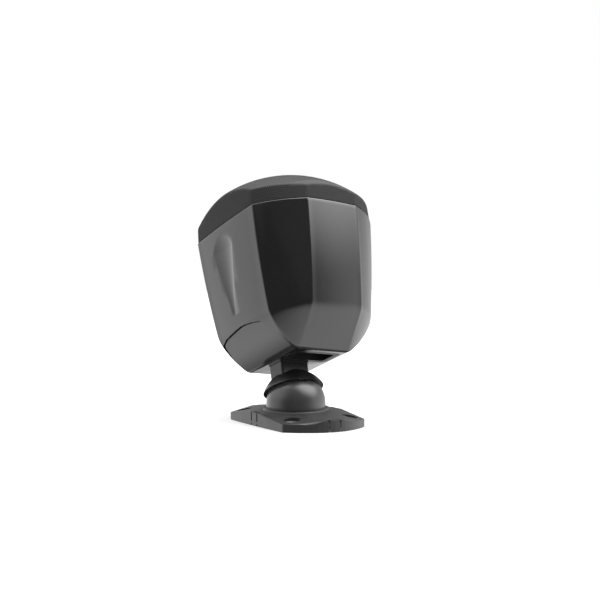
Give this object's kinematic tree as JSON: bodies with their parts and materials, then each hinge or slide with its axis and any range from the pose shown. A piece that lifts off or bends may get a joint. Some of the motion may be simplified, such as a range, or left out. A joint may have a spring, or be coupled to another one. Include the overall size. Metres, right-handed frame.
{
  "type": "wall speaker",
  "caption": "Faceted wall speaker on a ball mount: the cabinet tilts, turns and twists over a screw-down wall plate, with sprung wire terminals in a recess at the back.",
  "frame": {"origin": "middle of the wall plate's underside, where it meets the wall", "axes": "+Z away from the wall, X across the plate between the shorter hole pitch, Y along the plate"},
  "size_m": [0.1113, 0.1627, 0.1754],
  "materials": {
    "plate_plastic": "satin moulded",
    "dome_paint": "satin",
    "arm_paint": "semi gloss",
    "cabinet_gloss": "high gloss moulded",
    "grille_paint": "fine texture, perforated",
    "zinc_steel": "zinc plated",
    "brass": "turned",
    "black_plastic": "matt moulded",
    "red_plastic": "gloss moulded",
    "rubber": "matt",
    "basket_paint": "matt",
    "cone_plastic": "matt",
    "spider_cloth": "pleated",
    "coil_wire": "lacquered winding",
    "ferrite": "matt",
    "dome_cloth": "coated",
    "board_green": "satin",
    "film_blue": "gloss",
    "ceramic_white": "matt",
    "wire_jacket": "satin",
    "fibre": "soft fibre"
  },
  "bodies": {
    "base": {"wall_plate": "plate_plastic", "retaining_ring": "zinc_steel", "ring_screws": "zinc_steel"},
    "dome": {"swivel_dome": "dome_paint"},
    "clamp": {"clamp_shoe": "zinc_steel", "clamp_spring": "zinc_steel"},
    "speaker": {"clamp_bolt": "zinc_steel", "neck_arm": "arm_paint", "neck_insert": "brass", "arm_screws": "zinc_steel", "cabinet": "cabinet_gloss", "terminal_cup": "black_plastic", "lever_pin": "zinc_steel", "terminal_springs": "zinc_steel", "baffle": "black_plastic", "baffle_screws": "zinc_steel", "grille": "grille_paint", "grille_frame": "black_plastic", "grille_grommets": "rubber", "woofer_basket": "basket_paint", "woofer_gasket": "rubber", "woofer_screws": "zinc_steel", "woofer_surround": "rubber", "spider": "spider_cloth", "top_plate": "zinc_steel", "woofer_magnet": "ferrite", "pole_yoke": "zinc_steel", "tweeter_flange": "black_plastic", "tweeter_dome": "dome_cloth", "tweeter_magnet": "ferrite", "tweeter_screws": "zinc_steel", "crossover_board": "board_green", "crossover_coil": "coil_wire", "crossover_capacitor": "film_blue", "crossover_resistor": "ceramic_white", "hookup_wires": "wire_jacket", "damping_pad": "fibre"},
    "red_lever": {"lever_red": "red_plastic"},
    "black_lever": {"lever_black": "black_plastic"},
    "cone": {"woofer_cone": "cone_plastic", "dust_cap": "cone_plastic", "voice_coil": "coil_wire"}
  },
  "joints": [
    {"name": "dome_pan", "type": "hinge", "parent": "base", "child": "dome", "pos_m": [0, 0, 0.014], "axis": [0, 0, 1], "continuous": true},
    {"name": "cap_tilt", "type": "hinge", "parent": "dome", "child": "clamp", "pos_m": [0, 0, 0.014], "axis": [0.9932, -0.1167, 0], "range_deg": [-2.7, 57.3]},
    {"name": "arm_twist", "type": "hinge", "parent": "clamp", "child": "speaker", "pos_m": [0, 0, 0.014], "axis": [0.0535, 0.4555, 0.8886], "continuous": true},
    {"name": "red_lever_press", "type": "hinge", "parent": "speaker", "child": "red_lever", "pos_m": [0.00927, 0.00216, 0.05076], "axis": [-0.9904, -0.0895, 0.1055], "range_deg": [0, 22], "stiffness_Nm_per_rad": 0.02, "springref_deg": -22.92},
    {"name": "black_lever_press", "type": "hinge", "parent": "speaker", "child": "black_lever", "pos_m": [0.00927, 0.00216, 0.05076], "axis": [-0.9904, -0.0895, 0.1055], "range_deg": [0, 22], "stiffness_Nm_per_rad": 0.02, "springref_deg": -22.92},
    {"name": "cone_travel", "type": "slide", "parent": "speaker", "child": "cone", "axis": [0.0687, 0.3442, 0.9364], "range_m": [-0.0015, 0.0015], "stiffness_N_per_m": 1200, "deforming": ["woofer_surround", "spider"]}
  ]
}
